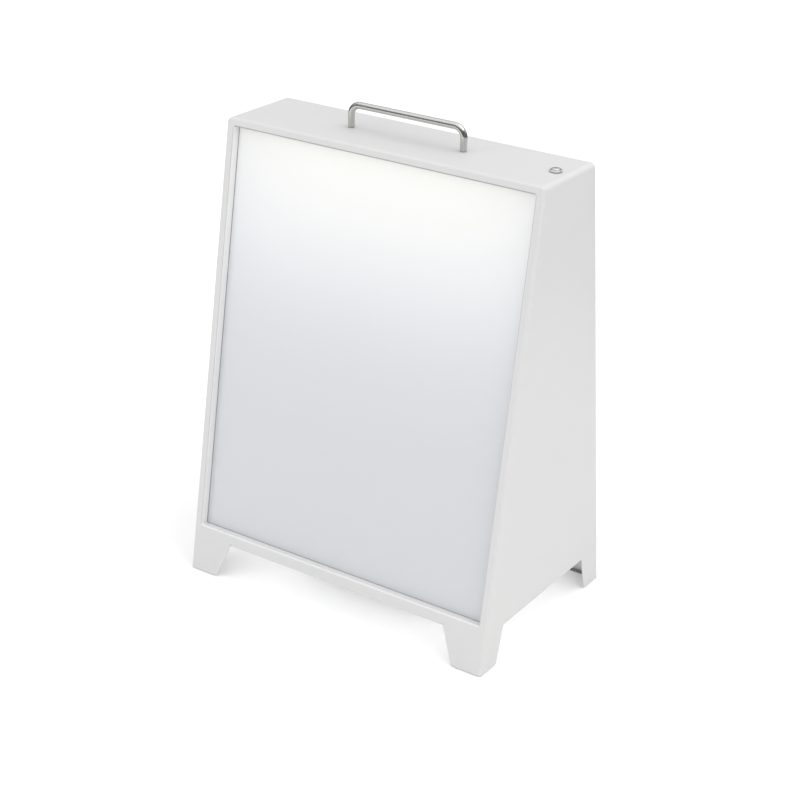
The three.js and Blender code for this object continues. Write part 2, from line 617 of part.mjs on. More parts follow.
// ---- Charging inlet ----
// A round socket in the rear of the battery box, behind a small hinged flap.
function addInlet() {
  const { x, z } = INLET;
  const wall = BOX.halfDepth;
  const along = (diameter, from, to, sides = 24) => toSolid(rod(diameter, "y", x, z, from, to, sides));
  const body = join(along(11, wall + 0.1, wall + 1.8), along(8, wall - 12, wall + 0.3));
  const socket = along(5.7, wall - 8, wall + 3);
  const pin = along(2, wall - 8.5, wall + 1, 12);
  addPiece("charge_inlet", join(cut(body, socket), pin), blackRubber());
  const hexagonal = extrude(hexagon(11), "z", 0, 2.4).rotateX(Math.PI / 2);
  const nut = toSolid(hexagonal.translate(x, wall - BOX.wall - 0.1, z));
  addPiece("charge_inlet_nut", cut(nut, along(8.4, wall - 8, wall)), zincSteel());

  const leafShape = roundedShape([[x - 8, 22.5, 3], [x + 8, 22.5, 3], [x + 8, 36, 1], [x - 8, 36, 1]]);
  const leaf = toSolid(extrude(leafShape, "y", HINGE.y - 1.8, HINGE.y));
  const knuckle = toSolid(rod(4.2, "x", HINGE.y, HINGE.z, x - 4.6, x + 4.6, 20));
  const neck = toSolid(block(x - 4.6, x + 4.6, HINGE.y - 1.8, HINGE.y, 35, HINGE.z));
  const bore = toSolid(rod(2.2, "x", HINGE.y, HINGE.z, x - 9, x + 9, 16));
  addPiece("charge_flap", cut(join(leaf, knuckle, neck), bore), blackRubber());
  addPiece("charge_flap_pin", rod(2, "x", HINGE.y, HINGE.z, x - 7, x + 7, 16), zincSteel());
}

// ---- Wiring ----
function addLead(name, steps, points) {
  const places = points.map((point) => new THREE.Vector3(...point));
  const path = new THREE.CatmullRomCurve3(places, false, "centripetal");
  addPiece(name, tube(CABLE.wire, path, steps, 8), wireJacket());
}

// The leads of the light and the switch run down the right side, over the bottom plate and into the
// battery box.
function addWiring() {
  const down = (y, start) => [
    ...start, [196, y, 505], [199, y, 470], [199, y, 300], [199, y, 110], [194, y, 75], [178, y, 54],
    [150, y, 52.5], [110, y, 52.5], [90, y * 0.7, 52.5], [82, y * 0.5, 52.5], [CABLE.x, y * 0.5, 48],
    [CABLE.x - 1, y * 0.5, 44],
  ];
  const boardTop = 41;
  const fromLight = down(-4, [[165, -4, 538], [175, -4, 537], [188, -4, 528]]);
  const fromSwitch = down(4, [[191, 2, 526.5], [191.5, 3, 520]]);
  addLead("light_lead", 48, [...fromLight, [75, -5, boardTop], [73, -11, 35]]);
  addLead("switch_lead", 48, [...fromSwitch, [77, 3, boardTop], [75, 8, 35]]);
  addLead("battery_lead", 20, [
    [-45, -32.8, 31], [-45, -37, 31], [-38, -41, 30], [-15, -41, 28], [4, -33, 27], [8, -24, 30],
    [12, -19.5, 34], [15.6, -19, 34],
  ]);
  addLead("charge_lead", 14, [
    [48, 37.7, 30], [48, 34, 30], [42, 27, 28], [34, 18, 28], [29, 13, 34], [24.4, 13, 34],
  ]);

  for (const [name, z] of [["upper", 420], ["lower", 160]]) {
    const inside = WIDTH / 2 - SHEET - GAP;
    const clip = toSolid(block(195, inside, -9, 9, z - 5, z + 5));
    const slots = [-4, 4].map((y) => toSolid(block(196, 202, y - 2, y + 2, z - 6, z + 6)));
    addPiece(`lead_clip_${name}`, cut(clip, ...slots), whitePlastic());
  }
}

addBody();
addFootPads();
addPanels();
addHandle();
addSwitch();
addLightBar();
addBottomPlate();
addBatteryBox();
addBatteryParts();
addInlet();
addWiring();

export default sign;
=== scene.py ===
"""Looks of a portable lighted advertising sign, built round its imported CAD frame.

Shapes are worked out in millimetres, in the part's own frame, and scaled to metres when a mesh is made.
X runs to the right of the front face, Y to the rear and Z up, from the floor under the body.
"""

import json
import math

import bmesh
import bpy
from mathutils import Matrix, Vector
from mathutils.geometry import tessellate_polygon

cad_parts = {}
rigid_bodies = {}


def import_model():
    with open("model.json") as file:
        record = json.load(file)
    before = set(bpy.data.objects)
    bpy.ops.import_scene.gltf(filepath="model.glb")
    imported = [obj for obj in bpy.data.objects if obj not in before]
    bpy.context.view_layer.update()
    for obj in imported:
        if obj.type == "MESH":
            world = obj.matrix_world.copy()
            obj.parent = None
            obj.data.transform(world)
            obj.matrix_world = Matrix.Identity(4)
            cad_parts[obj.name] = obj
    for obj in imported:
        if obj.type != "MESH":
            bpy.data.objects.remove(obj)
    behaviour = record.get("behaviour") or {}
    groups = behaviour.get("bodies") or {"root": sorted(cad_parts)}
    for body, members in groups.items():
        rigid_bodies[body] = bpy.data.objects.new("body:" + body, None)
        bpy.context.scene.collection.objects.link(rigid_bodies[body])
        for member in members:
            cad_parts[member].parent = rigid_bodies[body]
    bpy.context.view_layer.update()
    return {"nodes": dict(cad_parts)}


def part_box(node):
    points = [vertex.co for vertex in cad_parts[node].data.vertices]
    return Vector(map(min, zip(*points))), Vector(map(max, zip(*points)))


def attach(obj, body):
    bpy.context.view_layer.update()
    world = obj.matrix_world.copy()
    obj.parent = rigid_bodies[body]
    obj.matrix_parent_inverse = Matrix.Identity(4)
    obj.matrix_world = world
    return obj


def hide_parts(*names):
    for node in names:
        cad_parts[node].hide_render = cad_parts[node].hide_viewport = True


MM = 0.001

# ---- The body, as in the CAD ----
HALF_WIDTH = 210.0
BASE_HALF = 139.0  # half the depth between the faces on the floor
TOP_HALF = 55.0
TOP_HEIGHT = 556.0
SHEET = 1.5
WRAP_RADIUS = 6.0  # outside of the bends from the top down the sides
FOLD_RADIUS = 3.0  # outside of the bends round the faces
WRAP_LEVEL = TOP_HEIGHT - WRAP_RADIUS  # where those bends start
STEEL_BOTTOM = 1.0
SEAM_HEIGHT = 540.0
OPENING_HALF = 199.5
OPENING_RADIUS = 2.0
RAIL_TOP = 60.0
RAIL_BOTTOM = 45.0
TOP_LIP = 9.5
RECESS = 10.0
RETURN = 9.0  # depth of the flange under a rail
FACE_FOOT_TOP, FACE_FOOT_BOTTOM = 154.0, 171.0  # where a foot starts, from the middle of the face
SIDE_FOOT_TOP, SIDE_FOOT_BOTTOM = 92.7, 105.0  # the same, from the middle of the side
HANDLE_HALF = 75.0  # from the middle to each leg of the handle
HANDLE_BORE = 2.7  # radius of a leg's bore and of the hole under it
SWITCH_X = 191.0
SWITCH_HOLE = 6.2  # radius of the hole for the switch

# ---- What only the looks have ----
LIP_BEND = 1.8  # outside of the bend into the recess
EDGE_BEND = 2.2  # outside of the bends under rails and skirts
EDGE_ROUND = 0.3  # of a cut edge under its paint
RELIEF = 0.6  # width of the slot at the end of a bend
BEND_END = 1.3  # from the end of a bend to the foot beside it
SKIRT_EXTRA = 0.5  # what the flange under a skirt is deeper than a rail's
FOLD_STEPS = 8
WRAP_STEPS = 10
LIP_STEPS = 6
CORNER_STEPS = 6
RIM_STEPS = 3
SHARP = 32  # degrees between faces, from which an edge isn't shaded smooth
ONE_WAY = 0.9  # cosine between two directions of a rim, above which they shade as one

SLOPE = math.atan((BASE_HALF - TOP_HALF) / TOP_HEIGHT)
SIN, COS = math.sin(SLOPE), math.cos(SLOPE)
FACE_NORMAL = Vector((0, -COS, SIN))
FACE_UP = Vector((0, SIN, COS))
FACE_FOOT_POINT = Vector((0, -BASE_HALF, 0))
AXIS_X, AXIS_Y, AXIS_Z = Vector((1, 0, 0)), Vector((0, 1, 0)), Vector((0, 0, 1))
OPENING_BOTTOM = RAIL_TOP / COS
OPENING_TOP = TOP_HEIGHT / COS - TOP_LIP
SIDES = ("left", "right")
CORNERS = [f"{face}_{side}" for face in ("front", "rear") for side in SIDES]


def on_face(x, s, depth=0.0):
    """The point x across and s up the front face, depth in front of it."""
    return FACE_FOOT_POINT + x * AXIS_X + s * FACE_UP + depth * FACE_NORMAL


def on_side(y, z, depth=0.0):
    """The point y along and z up the body's right side, depth outside it."""
    return Vector((HALF_WIDTH + depth, y, z))


def turned(a, b, share):
    """The unit vector a share of the way round from a to b."""
    angle = a.angle(b)
    return (a * math.sin((1 - share) * angle) + b * math.sin(share * angle)) / math.sin(angle)


# ---- Meshes ----
def make_object(name, points, faces, material, normals=None, scale=MM):
    """An object from points and faces, smooth, with its own loop normals if they are given."""
    mesh = bpy.data.meshes.new(name)
    mesh.from_pydata([Vector(p) * scale for p in points], [], faces)
    mesh.polygons.foreach_set("use_smooth", [True] * len(mesh.polygons))
    if normals:
        mesh.normals_split_custom_set(normals)
    mesh.materials.append(material)
    obj = bpy.data.objects.new(name, mesh)
    bpy.context.scene.collection.objects.link(obj)
    return obj


# ---- Sheet metal ----
class Sheet:
    """One bent sheet: points on its outer side with their normals, and faces that each belong to a piece."""

    CELL = 0.02  # points nearer than half of this are one point
    LEAST_SHARE, LEAST_TOTAL = 0.4, 0.2  # these keep a sharp corner from reaching too far

    def __init__(self):
        self.points, self.normals, self.faces, self.pieces = [], [], [], []
        self.cells = {}

    def add_point(self, p, n):
        at = [int(math.floor(c / self.CELL)) for c in p]
        steps = (-1, 0, 1)
        near = [(at[0] + i, at[1] + j, at[2] + k) for i in steps for j in steps for k in steps]
        for cell in near:
            for known in self.cells.get(cell, ()):
                if (self.points[known] - p).length < self.CELL / 2:
                    return known
        self.points.append(Vector(p))
        self.normals.append(Vector(n).normalized())
        self.cells.setdefault(tuple(at), []).append(len(self.points) - 1)
        return len(self.points) - 1

    def add_face(self, ids, piece):
        ids = [v for i, v in enumerate(ids) if v != ids[i - 1]]
        if len(ids) < 3:
            return
        arms = [self.points[v] - self.points[ids[0]] for v in ids]
        area = sum((arms[i - 1].cross(arm) for i, arm in enumerate(arms)), Vector())
        if area.dot(sum((self.normals[v] for v in ids), Vector())) < 0:
            ids.reverse()
        self.faces.append(tuple(ids))
        self.pieces.append(piece)

    def add_grid(self, rows, piece):
        """Rows of (point, normal), joined by quads."""
        ids = [[self.add_point(p, n) for p, n in row] for row in rows]
        for low, high in zip(ids, ids[1:]):
            for i in range(len(low) - 1):
                self.add_face([low[i], low[i + 1], high[i + 1], high[i]], piece)

    def add_flat(self, outlines, normal, piece):
        """A flat region: its outline, and the outlines of its holes."""
        flat = [self.add_point(p, normal) for outline in outlines for p in outline]
        for triangle in tessellate_polygon([[Vector(p) for p in outline] for outline in outlines]):
            self.add_face([flat[i] for i in triangle], piece)

    def edges(self):
        """Each directed edge with the piece of its face."""
        found = {}
        for ids, piece in zip(self.faces, self.pieces):
            for i, v in enumerate(ids):
                found[(ids[i - 1], v)] = piece
        return found

    def cut_edges(self):
        """The directed edges with no face beyond them, and the outward direction of each at its two ends."""
        known = self.edges()
        outward = {}
        for a, b in known:
            if (b, a) in known:
                continue
            along = (self.points[b] - self.points[a]).normalized()
            outward[(a, b)] = tuple(along.cross(self.normals[v]).normalized() for v in (a, b))
        return outward

    def rims(self, outward):
        """For each point on a cut edge, the way out of the sheet, long enough to move both edges alike."""
        meeting = {}
        for (a, b), (at_a, at_b) in outward.items():
            meeting.setdefault(a, []).append(at_a)
            meeting.setdefault(b, []).append(at_b)
        ways = {}
        for v, directions in meeting.items():
            total = sum(directions, Vector())
            share = max(self.LEAST_SHARE, total.dot(directions[0]))
            ways[v] = total / share if total.length > self.LEAST_TOTAL else directions[0]
        return ways


def rim_profile(point, normal, way):
    """Points round a cut edge from the outer side to the inner one, with how far each has turned."""
    made = []
    for level, start in ((EDGE_ROUND, 0), (SHEET - EDGE_ROUND, 90)):
        centre = point - way * EDGE_ROUND - normal * level
        for i in range(RIM_STEPS + 1):
            angle = math.radians(start + 90 * i / RIM_STEPS)
            made.append((centre + EDGE_ROUND * (math.sin(angle) * way + math.cos(angle) * normal), angle))
    return made


def sheet_piece(sheet, piece, material):
    """One piece's faces as a solid of the sheet's thickness: its two sides, rounded cut edges and welds."""
    outward = sheet.cut_edges()
    ways = sheet.rims(outward)
    known = sheet.edges()
    points, faces, normals = [], [], []
    sides, profiles = {}, {}

    def keep(p):
        points.append(p)
        return len(points) - 1

    def side_ids(v):
        if v not in sides:
            p, n = sheet.points[v], sheet.normals[v]
            if v in ways:
                profiles[v] = [keep(q) for q, _ in rim_profile(p, n, ways[v])]
                sides[v] = (profiles[v][0], profiles[v][-1])
            else:
                sides[v] = (keep(p), keep(p - n * SHEET))
        return sides[v]

    angles = [a for _, a in rim_profile(Vector(), AXIS_Z, AXIS_X)]
    for ids, owner in zip(sheet.faces, sheet.pieces):
        if owner != piece:
            continue
        faces.append([side_ids(v)[0] for v in ids])
        normals += [sheet.normals[v] for v in ids]
        faces.append([side_ids(v)[1] for v in reversed(ids)])
        normals += [-sheet.normals[v] for v in reversed(ids)]
        for i, b in enumerate(ids):
            a = ids[i - 1]
            if (a, b) in outward:  # a cut edge, which is rounded
                ends = []
                for v, direction in zip((a, b), outward[(a, b)]):
                    even = ways[v].normalized()
                    ends.append(even if even.dot(direction) > ONE_WAY else direction)
                for k in range(len(angles) - 1):
                    quad = ((b, ends[1], k), (a, ends[0], k), (a, ends[0], k + 1), (b, ends[1], k + 1))
                    faces.append([profiles[v][j] for v, _, j in quad])
                    normals += [
                        math.sin(angles[j]) * e + math.cos(angles[j]) * sheet.normals[v] for v, e, j in quad
                    ]
            elif known[(b, a)] != piece:  # a weld to the next piece, which is closed by a flat cap
                (ao, ai), (bo, bi) = side_ids(a), side_ids(b)
                face_out = (sheet.points[b] - sheet.points[a]).cross(sheet.normals[a]).normalized()
                caps = [[bo, ao, ai, bi]]
                if a in profiles:
                    caps.append([ai, ao, *profiles[a][1:-1]])
                if b in profiles:
                    caps.append([bo, bi, *profiles[b][-2:0:-1]])
                for cap in caps:
                    faces.append(cap)
                    normals += [face_out] * len(cap)
    return make_object(piece + "_sheet", points, faces, material, normals)


# ---- One quarter of the body, at x > 0 and y < 0 ----
# A row is a list of (point, normal), and a region says which steel piece a patch is in.
def fold_centre(x, z):
    """The centre of the bend round the face, where it is at x and z."""
    return Vector((x, -BASE_HALF + z * SIN / COS + FOLD_RADIUS / COS, z))


def fold_ways(side):
    """Unit vectors from the face's normal round to another one."""
    return [turned(FACE_NORMAL, side, i / FOLD_STEPS) for i in range(FOLD_STEPS + 1)]


def fold_row(x, z, side):
    """Across the bend from the face to the sheet that looks along side."""
    return [(fold_centre(x, z) + FOLD_RADIUS * way, way) for way in fold_ways(side)]


def level_row(level):
    """Across the bend from the face to the body's side, all at one height."""
    x = HALF_WIDTH - FOLD_RADIUS
    return [
        (fold_centre(x, level - FOLD_RADIUS * way.z) + FOLD_RADIUS * way, way) for way in fold_ways(AXIS_X)
    ]


def corner_rows():
    """The bend's turn over the body's top corner."""
    offset = WRAP_RADIUS - FOLD_RADIUS
    rows = []
    for i in range(WRAP_STEPS + 1):
        angle = math.radians(90 * i / WRAP_STEPS)
        way = Vector((math.cos(angle), 0, math.sin(angle)))
        x, z = HALF_WIDTH - WRAP_RADIUS + offset * way.x, WRAP_LEVEL + offset * way.z
        rows.append(fold_row(x, z, way))
    return rows


def flange_rows(point, out, up, bend, end, reach, depth):
    """A lower edge bent inwards and on into a flange. point(along, height, depth) gives its points."""
    rows = []
    for i in range(LIP_STEPS + 1):
        angle = math.radians(90 * i / LIP_STEPS)
        drop, behind = EDGE_BEND * math.sin(angle), EDGE_BEND * (1 - math.cos(angle))
        way = math.cos(angle) * out - math.sin(angle) * up
        rows.append([(point(along, bend - drop, -behind), way) for along in (0, reach)])
    rows.append([(point(along, end, -depth), -up) for along in (0, reach)])
    return rows


def side_patches(bottom, seam, corner):
    """The side with half of the notch between its feet, its strip over the seam, and the flange under it."""
    skirt, reach = RAIL_BOTTOM + EDGE_BEND, SIDE_FOOT_TOP - BEND_END
    lean = (SIDE_FOOT_BOTTOM - SIDE_FOOT_TOP) / RAIL_BOTTOM
    below = [
        bottom[-1][0],
        seam[-1][0],
        on_side(0, SEAM_HEIGHT),
        on_side(0, skirt),
        on_side(-reach, skirt),
        on_side(-reach, skirt + RELIEF),
        on_side(-reach - RELIEF, skirt + RELIEF),
        on_side(-reach - RELIEF, RAIL_BOTTOM),
        on_side(-SIDE_FOOT_TOP, RAIL_BOTTOM),
        on_side(-SIDE_FOOT_BOTTOM + lean * STEEL_BOTTOM, STEEL_BOTTOM),
    ]
    above = [seam[-1][0], corner[0][-1][0], on_side(0, WRAP_LEVEL), on_side(0, SEAM_HEIGHT)]
    flange = flange_rows(on_side, AXIS_X, AXIS_Z, skirt, RAIL_BOTTOM, -reach, RETURN + SKIRT_EXTRA)
    return [("side", below, AXIS_X), ("top", above, AXIS_X)], ("side", flange)


def opening_outline():
    """Half of the opening's outline, from the rail up, as (place, way out of it, region)."""
    low, high, radius = OPENING_BOTTOM, OPENING_TOP, OPENING_RADIUS
    outline = [((0, low), (0, -1), "rail"), ((FACE_FOOT_TOP, low), (0, -1), "rail")]
    for centre_s, first, region in ((low + radius, -90, "side"), (high - radius, 0, "top")):
        for i in range(CORNER_STEPS + 1):
            angle = math.radians(first + 90 * i / CORNER_STEPS)
            way = (math.cos(angle), math.sin(angle))
            place = (OPENING_HALF - radius + radius * way[0], centre_s + radius * way[1])
            outline.append((place, way, region))
        if region == "side":
            outline.append((None, (1, 0), "side"))  # the seam: it is level, and so it leans in the wall
    outline.append(((0, high), (0, 1), "top"))
    return outline


def wall_column(place, way):
    """Into the recess at one place, or at the seam: round the lip's bend and on to the wall's cut edge."""
    turns = [math.radians(90 * i / LIP_STEPS) for i in range(LIP_STEPS + 1)]
    steps = [(turn, -LIP_BEND * (1 - math.cos(turn))) for turn in turns]
    steps.append((turns[-1], -RECESS))
    inward = -(way[0] * AXIS_X + way[1] * FACE_UP)
    column = []
    for turn, depth in steps:
        out = LIP_BEND * (1 - math.sin(turn))
        if place:
            x, s = place[0] + out * way[0], place[1] + out * way[1]
        else:
            x, s = OPENING_HALF + out, (SEAM_HEIGHT - depth * SIN) / COS
        column.append((on_face(x, s, depth), math.cos(turn) * FACE_NORMAL + math.sin(turn) * inward))
    return column


def face_patches(bottom, seam, corner, middle, rims, seam_index):
    """The foot and lip beside the opening, the lip over it, the rail under it, and the rail's flange."""
    rail_s = RAIL_BOTTOM / COS
    bend_s = rail_s + EDGE_BEND
    foot_s = STEEL_BOTTOM / COS
    lean = (FACE_FOOT_BOTTOM - FACE_FOOT_TOP) / rail_s
    reach = FACE_FOOT_TOP - BEND_END
    beside = [
        on_face(FACE_FOOT_BOTTOM - lean * foot_s, foot_s),
        bottom[0][0],
        seam[0][0],
        *reversed(rims[1 : seam_index + 1]),
        on_face(FACE_FOOT_TOP, rail_s),
    ]
    over = [seam[0][0], *[row[0][0] for row in corner], middle[0][0], *reversed(rims[seam_index:])]
    rail = [
        rims[0],
        rims[1],
        on_face(FACE_FOOT_TOP, rail_s),
        on_face(reach + RELIEF, rail_s),
        on_face(reach + RELIEF, bend_s + RELIEF),
        on_face(reach, bend_s + RELIEF),
        on_face(reach, bend_s),
        on_face(0, bend_s),
    ]
    regions = (("side", beside), ("top", over), ("rail", rail))
    flange = flange_rows(on_face, FACE_NORMAL, FACE_UP, bend_s, rail_s, reach, RETURN)
    return [(region, outline, FACE_NORMAL) for region, outline in regions], ("rail", flange)


def quarter_patches():
    """The quarter's grids as (region, rows), its flats as (region, outline, normal), and its top corner."""
    bottom, seam, corner = level_row(STEEL_BOTTOM), level_row(SEAM_HEIGHT), corner_rows()
    middle = [(Vector((0, p.y, p.z)), n) for p, n in corner[-1]]
    wrap = [row[-1] for row in corner]
    wrap_middle = [(Vector((p.x, 0, p.z)), n) for p, n in wrap]
    side_flats, side_flange = side_patches(bottom, seam, corner)
    outline = opening_outline()
    columns = [wall_column(place, way) for place, way, _ in outline]
    walls = [(outline[i][2], columns[i - 1 : i + 1]) for i in range(1, len(outline))]
    rims = [column[0][0] for column in columns]
    seam_index = next(i for i, (place, _, _) in enumerate(outline) if place is None)
    face_flats, rail_flange = face_patches(bottom, seam, corner, middle, rims, seam_index)
    bends = [("side", [bottom, seam]), ("top", [seam, *corner, middle]), ("top", [wrap, wrap_middle])]
    return [*bends, side_flange, *walls, rail_flange], side_flats + face_flats, corner[-1][-1][0]


# ---- The steel body ----
def circle(x, y, z, radius, steps=32):
    """Points round a level circle."""
    turns = [2 * math.pi * i / steps for i in range(steps)]
    return [Vector((x + radius * math.cos(turn), y + radius * math.sin(turn), z)) for turn in turns]


def build_body(material):
    """Four mirrored quarters and the top plate as one bent sheet, parted at its seams into five pieces."""
    grids, flats, top_corner = quarter_patches()
    sheet = Sheet()
    for mx in (1, -1):
        for my in (1, -1):
            names = {
                "top": "top_panel",
                "side": "side_panel_right" if mx > 0 else "side_panel_left",
                "rail": "front_rail" if my > 0 else "rear_rail",
            }
            flip = Vector((mx, my, 1))
            for region, rows in grids:
                sheet.add_grid([[(p * flip, n * flip) for p, n in row] for row in rows], names[region])
            for region, outline, normal in flats:
                sheet.add_flat([[p * flip for p in outline]], normal * flip, names[region])
    x, y, z = top_corner
    right, left = [(x, y, z), (x, 0, z), (x, -y, z)], [(-x, -y, z), (-x, 0, z), (-x, y, z)]
    rim = [Vector(p) for p in (*right, (0, -y, z), *left, (0, y, z))]
    holes = [circle(SWITCH_X, 0, z, SWITCH_HOLE)]
    holes += [circle(side * HANDLE_HALF, 0, z, HANDLE_BORE) for side in (-1, 1)]
    sheet.add_flat([rim, *holes], AXIS_Z, "top_panel")
    for piece in ("top_panel", "side_panel_left", "side_panel_right", "front_rail", "rear_rail"):
        place(sheet_piece(sheet, piece, material), piece, "steel_white")


def place(obj, node, slot, body="sign"):
    """The object stands for a CAD node, which is hidden, and rides with its body; slot is not used."""
    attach(obj, body)
    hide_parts(node)
    return obj


# ---- Other shapes ----
def refine(node, slot, material, bevel=0.35, segments=2, body="sign", sharp=28):
    """The CAD node as one clean surface, with its edges of more than sharp degrees rounded off."""
    join_within, flat_within = 3e-6, math.radians(0.5)
    bm = bmesh.new()
    bm.from_mesh(NODES[node].data)
    bmesh.ops.remove_doubles(bm, verts=bm.verts, dist=join_within)
    bmesh.ops.dissolve_limit(bm, angle_limit=flat_within, verts=bm.verts, edges=bm.edges)
    bm.edges.ensure_lookup_table()
    folds = [e for e in bm.edges if len(e.link_faces) == 2 and e.calc_face_angle() > math.radians(sharp)]
    if bevel and folds:
        bmesh.ops.bevel(
            bm, geom=folds, offset=bevel * MM, offset_type="OFFSET", segments=segments, profile=0.5,
            affect="EDGES", clamp_overlap=True,
        )
    mesh = bpy.data.meshes.new(node + "_look")
    bm.to_mesh(mesh)
    bm.free()
    mesh.polygons.foreach_set("use_smooth", [True] * len(mesh.polygons))
    mesh.materials.append(material)
    obj = bpy.data.objects.new(node + "_look", mesh)
    bpy.context.scene.collection.objects.link(obj)
    even = obj.modifiers.new("even", "WEIGHTED_NORMAL")
    even.keep_sharp = False
    return place(obj, node, slot, body)


def turned_mesh(name, profile, material, x=0.0, steps=40):
    """A solid of revolution about the vertical through x, from a profile of (radius, height) points."""
    points, faces, rings = [], [], []
    for radius, z in profile:
        if radius < 1e-6:
            points.append((x, 0, z))
            rings.append([len(points) - 1] * steps)
            continue
        start = len(points)
        points += circle(x, 0, z, radius, steps)
        rings.append(list(range(start, start + steps)))
    for low, high in zip(rings, rings[1:]):
        for i in range(steps):
            j = (i + 1) % steps
            corners = [low[i], low[j], high[j], high[i]]
            faces.append([v for k, v in enumerate(corners) if v != corners[k - 1]])
    obj = make_object(name, points, faces, material)
    obj.data.set_sharp_from_angle(angle=math.radians(SHARP))
    return obj


def arc_points(cx, cz, radius, start, end, steps):
    """(radius, height) points on an arc, for a turned profile."""
    turns = [math.radians(start + (end - start) * i / steps) for i in range(steps + 1)]
    return [(cx + radius * math.cos(turn), cz + radius * math.sin(turn)) for turn in turns]


# ---- Handle ----
def handle_rings():
    """Rings along the bar from one bore to the other, as (place, how far the bar has turned, radius)."""
    centre_z, bend, bar = 583.0, 12.0, 4.0
    bore_top, chamfer, leg_middle = 564.8, 0.4, 563.0
    bend_steps, grip = 16, (-40.0, -13.0)
    leg = -HANDLE_HALF
    rings = [
        ((leg, bore_top), 0, 0.0),
        ((leg, bore_top), 0, HANDLE_BORE),
        ((leg, TOP_HEIGHT), 0, HANDLE_BORE),
        ((leg, TOP_HEIGHT), 0, bar - chamfer),
        ((leg, TOP_HEIGHT + chamfer), 0, bar),
        ((leg, leg_middle), 0, bar),
    ]
    for i in range(bend_steps + 1):
        angle = math.pi / 2 * i / bend_steps
        x = bend + leg - bend * math.cos(angle)
        rings.append(((x, centre_z - bend + bend * math.sin(angle)), angle, bar))
    rings += [((x, centre_z), math.pi / 2, bar) for x in grip]
    return rings + [((-x, z), math.pi - angle, radius) for (x, z), angle, radius in reversed(rings)]


def build_handle(material):
    """One bent bar, with a coordinate round it and along it that its grinding lines follow."""
    rings = handle_rings()
    steps = 48
    points, faces, uvs, along = [], [], [], [0.0]
    for i, ((x, z), angle, radius) in enumerate(rings):
        if i:
            (px, pz), _, _ = rings[i - 1]
            along.append(along[-1] + math.hypot(x - px, z - pz))
        outward = Vector((-math.cos(angle), 0, math.sin(angle)))
        for k in range(steps):
            turn = 2 * math.pi * k / steps
            points.append(Vector((x, 0, z)) + radius * (math.cos(turn) * outward + math.sin(turn) * AXIS_Y))
    for i in range(len(rings) - 1):
        for k in range(steps):
            n = (k + 1) % steps
            faces.append([i * steps + k, i * steps + n, (i + 1) * steps + n, (i + 1) * steps + k])
            left, right, low, high = k / steps, (k + 1) / steps, along[i], along[i + 1]
            uvs += [(left, low), (right, low), (right, high), (left, high)]
    obj = make_object("handle_look", points, faces, material)
    layer = obj.data.uv_layers.new(name="along")
    for loop, (u, v) in zip(layer.data, uvs):
        loop.uv = (u, v * MM)
    clean(obj.data)
    obj.data.set_sharp_from_angle(angle=math.radians(SHARP))
    place(obj, "handle", "stainless")


def clean(mesh):
    """Joins points that meet and turns the faces outwards."""
    bm = bmesh.new()
    bm.from_mesh(mesh)
    bmesh.ops.remove_doubles(bm, verts=bm.verts, dist=1e-6)
    bmesh.ops.dissolve_degenerate(bm, edges=bm.edges, dist=1e-7)
    bmesh.ops.recalc_face_normals(bm, faces=bm.faces)
    bm.to_mesh(mesh)
    bm.free()


# ---- Switch ----
SWITCH_LOW, SWITCH_HIGH = TOP_HEIGHT + 0.7, TOP_HEIGHT + 2.6  # its bezel
SWITCH_FLOOR = SWITCH_HIGH - 6.0  # of the well that the button slides in
SWITCH_STEPS = 72


def switch_thread():
    """The barrel from the bezel down, with a thread, a plain end and the flat back."""
    outer, core, back, pitch = 6.0, 5.7, 5.25, 0.9
    thread_end, back_end, shoulder = TOP_HEIGHT - 16, TOP_HEIGHT - 24, 0.3
    profile = [(outer, SWITCH_LOW)]
    for i in range(int((SWITCH_LOW - thread_end) / pitch)):
        z = SWITCH_LOW - 0.5 - i * pitch
        profile += [(outer, z), (core, z - pitch * 0.45)]
    return profile + [(core, thread_end), (back, thread_end - shoulder), (back, back_end), (0, back_end)]


def build_switch_body(material):
    rim, well, guide = 7.0, 5.1, 2.3
    lip, edge, under = 0.45, 0.7, 0.2  # radii round the well's mouth and the bezel
    guide_floor = SWITCH_FLOOR - 3.9
    profile = [(0, guide_floor), (guide, guide_floor), (guide, SWITCH_FLOOR), (well, SWITCH_FLOOR)]
    profile.append((well, SWITCH_HIGH - lip))
    profile += arc_points(well + lip, SWITCH_HIGH - lip, lip, 180, 90, 4)
    profile += arc_points(rim - edge, SWITCH_HIGH - edge, edge, 90, 0, 6)
    profile += arc_points(rim - under, SWITCH_LOW + under, under, 0, -90, 2)
    body = turned_mesh("switch_body_look", profile + switch_thread(), material, SWITCH_X, SWITCH_STEPS)
    clean(body.data)
    body.data.set_sharp_from_angle(angle=math.radians(SHARP))
    tag_x, tag_half, tag_width = 2.8, 0.4, 1
    tag_low, tag_high = TOP_HEIGHT - 29, TOP_HEIGHT - 23.9
    boxes = []
    for middle in (SWITCH_X - tag_x, SWITCH_X + tag_x):
        low = (middle - tag_half, -tag_width, tag_low)
        boxes.append((low, (middle + tag_half, tag_width, tag_high)))
    add_boxes(body, boxes)
    place(body, "switch_body", "switch_steel")


